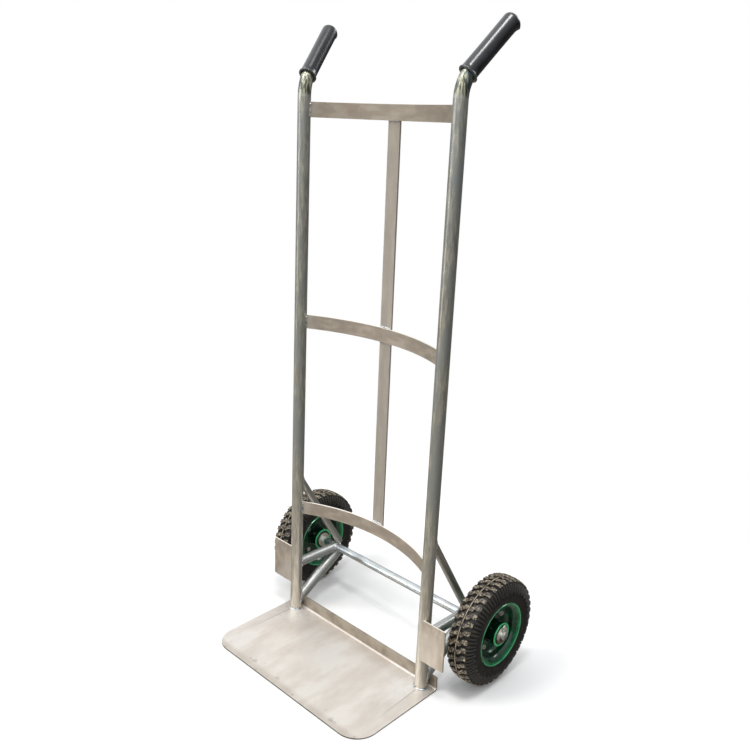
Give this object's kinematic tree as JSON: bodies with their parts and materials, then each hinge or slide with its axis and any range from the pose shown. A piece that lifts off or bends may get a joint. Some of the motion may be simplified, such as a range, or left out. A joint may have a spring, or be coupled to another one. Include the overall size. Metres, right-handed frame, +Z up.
{
  "type": "hand truck",
  "caption": "Two-wheeled upright hand truck with tubular rails, bowed crossbars, a flat toe plate, splayed handles and pneumatic wheels on split rims.",
  "frame": {"origin": "on the floor under the toe plate, midway between the feet of the two rails", "axes": "+Z up, toe plate towards -Y, wheels towards +Y, left wheel at -X and right wheel at +X"},
  "size_m": [0.584, 0.4333, 1.2203],
  "materials": {
    "tube": "dull galvanised, mottled",
    "bare_steel": "bare, brushed, warm grey",
    "plate_steel": "bare sheet, brushed",
    "axle_steel": "bright zinc",
    "zinc": "zinc plated",
    "bearing_steel": "ground",
    "grip": "satin moulded",
    "rim": "gloss paint",
    "tyre": "dusty rubber",
    "inner_rubber": "matt",
    "seal": "satin",
    "brass": "dull",
    "valve_plastic": "moulded"
  },
  "bodies": {
    "frame": {"toe_plate": "plate_steel", "top_crossbar": "bare_steel", "middle_crossbar": "bare_steel", "lower_crossbar": "bare_steel", "centre_strip": "bare_steel", "axle": "axle_steel", "left_rail": "tube", "left_wheel_guard": "bare_steel", "left_axle_arm": "tube", "left_upper_strut": "tube", "left_lower_strut": "tube", "left_grip": "grip", "left_bearing_inner_races": "bearing_steel", "left_hub_spacer": "zinc", "left_inner_collar": "zinc", "left_outer_washer": "zinc", "left_split_pin": "zinc", "right_rail": "tube", "right_wheel_guard": "bare_steel", "right_axle_arm": "tube", "right_upper_strut": "tube", "right_lower_strut": "tube", "right_grip": "grip", "right_bearing_inner_races": "bearing_steel", "right_hub_spacer": "zinc", "right_inner_collar": "zinc", "right_outer_washer": "zinc", "right_split_pin": "zinc"},
    "left_wheel": {"left_tyre": "tyre", "left_inner_tube": "inner_rubber", "left_rim_outer_half": "rim", "left_rim_inner_half": "rim", "left_hub_sleeve": "rim", "left_bearing_outer_races": "bearing_steel", "left_bearing_balls": "bearing_steel", "left_bearing_seals": "seal", "left_rim_bolts": "zinc", "left_rim_nuts": "zinc", "left_valve_stem": "brass", "left_valve_cap": "valve_plastic"},
    "right_wheel": {"right_tyre": "tyre", "right_inner_tube": "inner_rubber", "right_rim_outer_half": "rim", "right_rim_inner_half": "rim", "right_hub_sleeve": "rim", "right_bearing_outer_races": "bearing_steel", "right_bearing_balls": "bearing_steel", "right_bearing_seals": "seal", "right_rim_bolts": "zinc", "right_rim_nuts": "zinc", "right_valve_stem": "brass", "right_valve_cap": "valve_plastic"}
  },
  "joints": [
    {"name": "left_wheel_spin", "type": "hinge", "parent": "frame", "child": "left_wheel", "pos_m": [-0.2556, 0.1198, 0.11], "axis": [1, 0, 0], "continuous": true},
    {"name": "right_wheel_spin", "type": "hinge", "parent": "frame", "child": "right_wheel", "pos_m": [0.2556, 0.1198, 0.11], "axis": [1, 0, 0], "continuous": true}
  ]
}
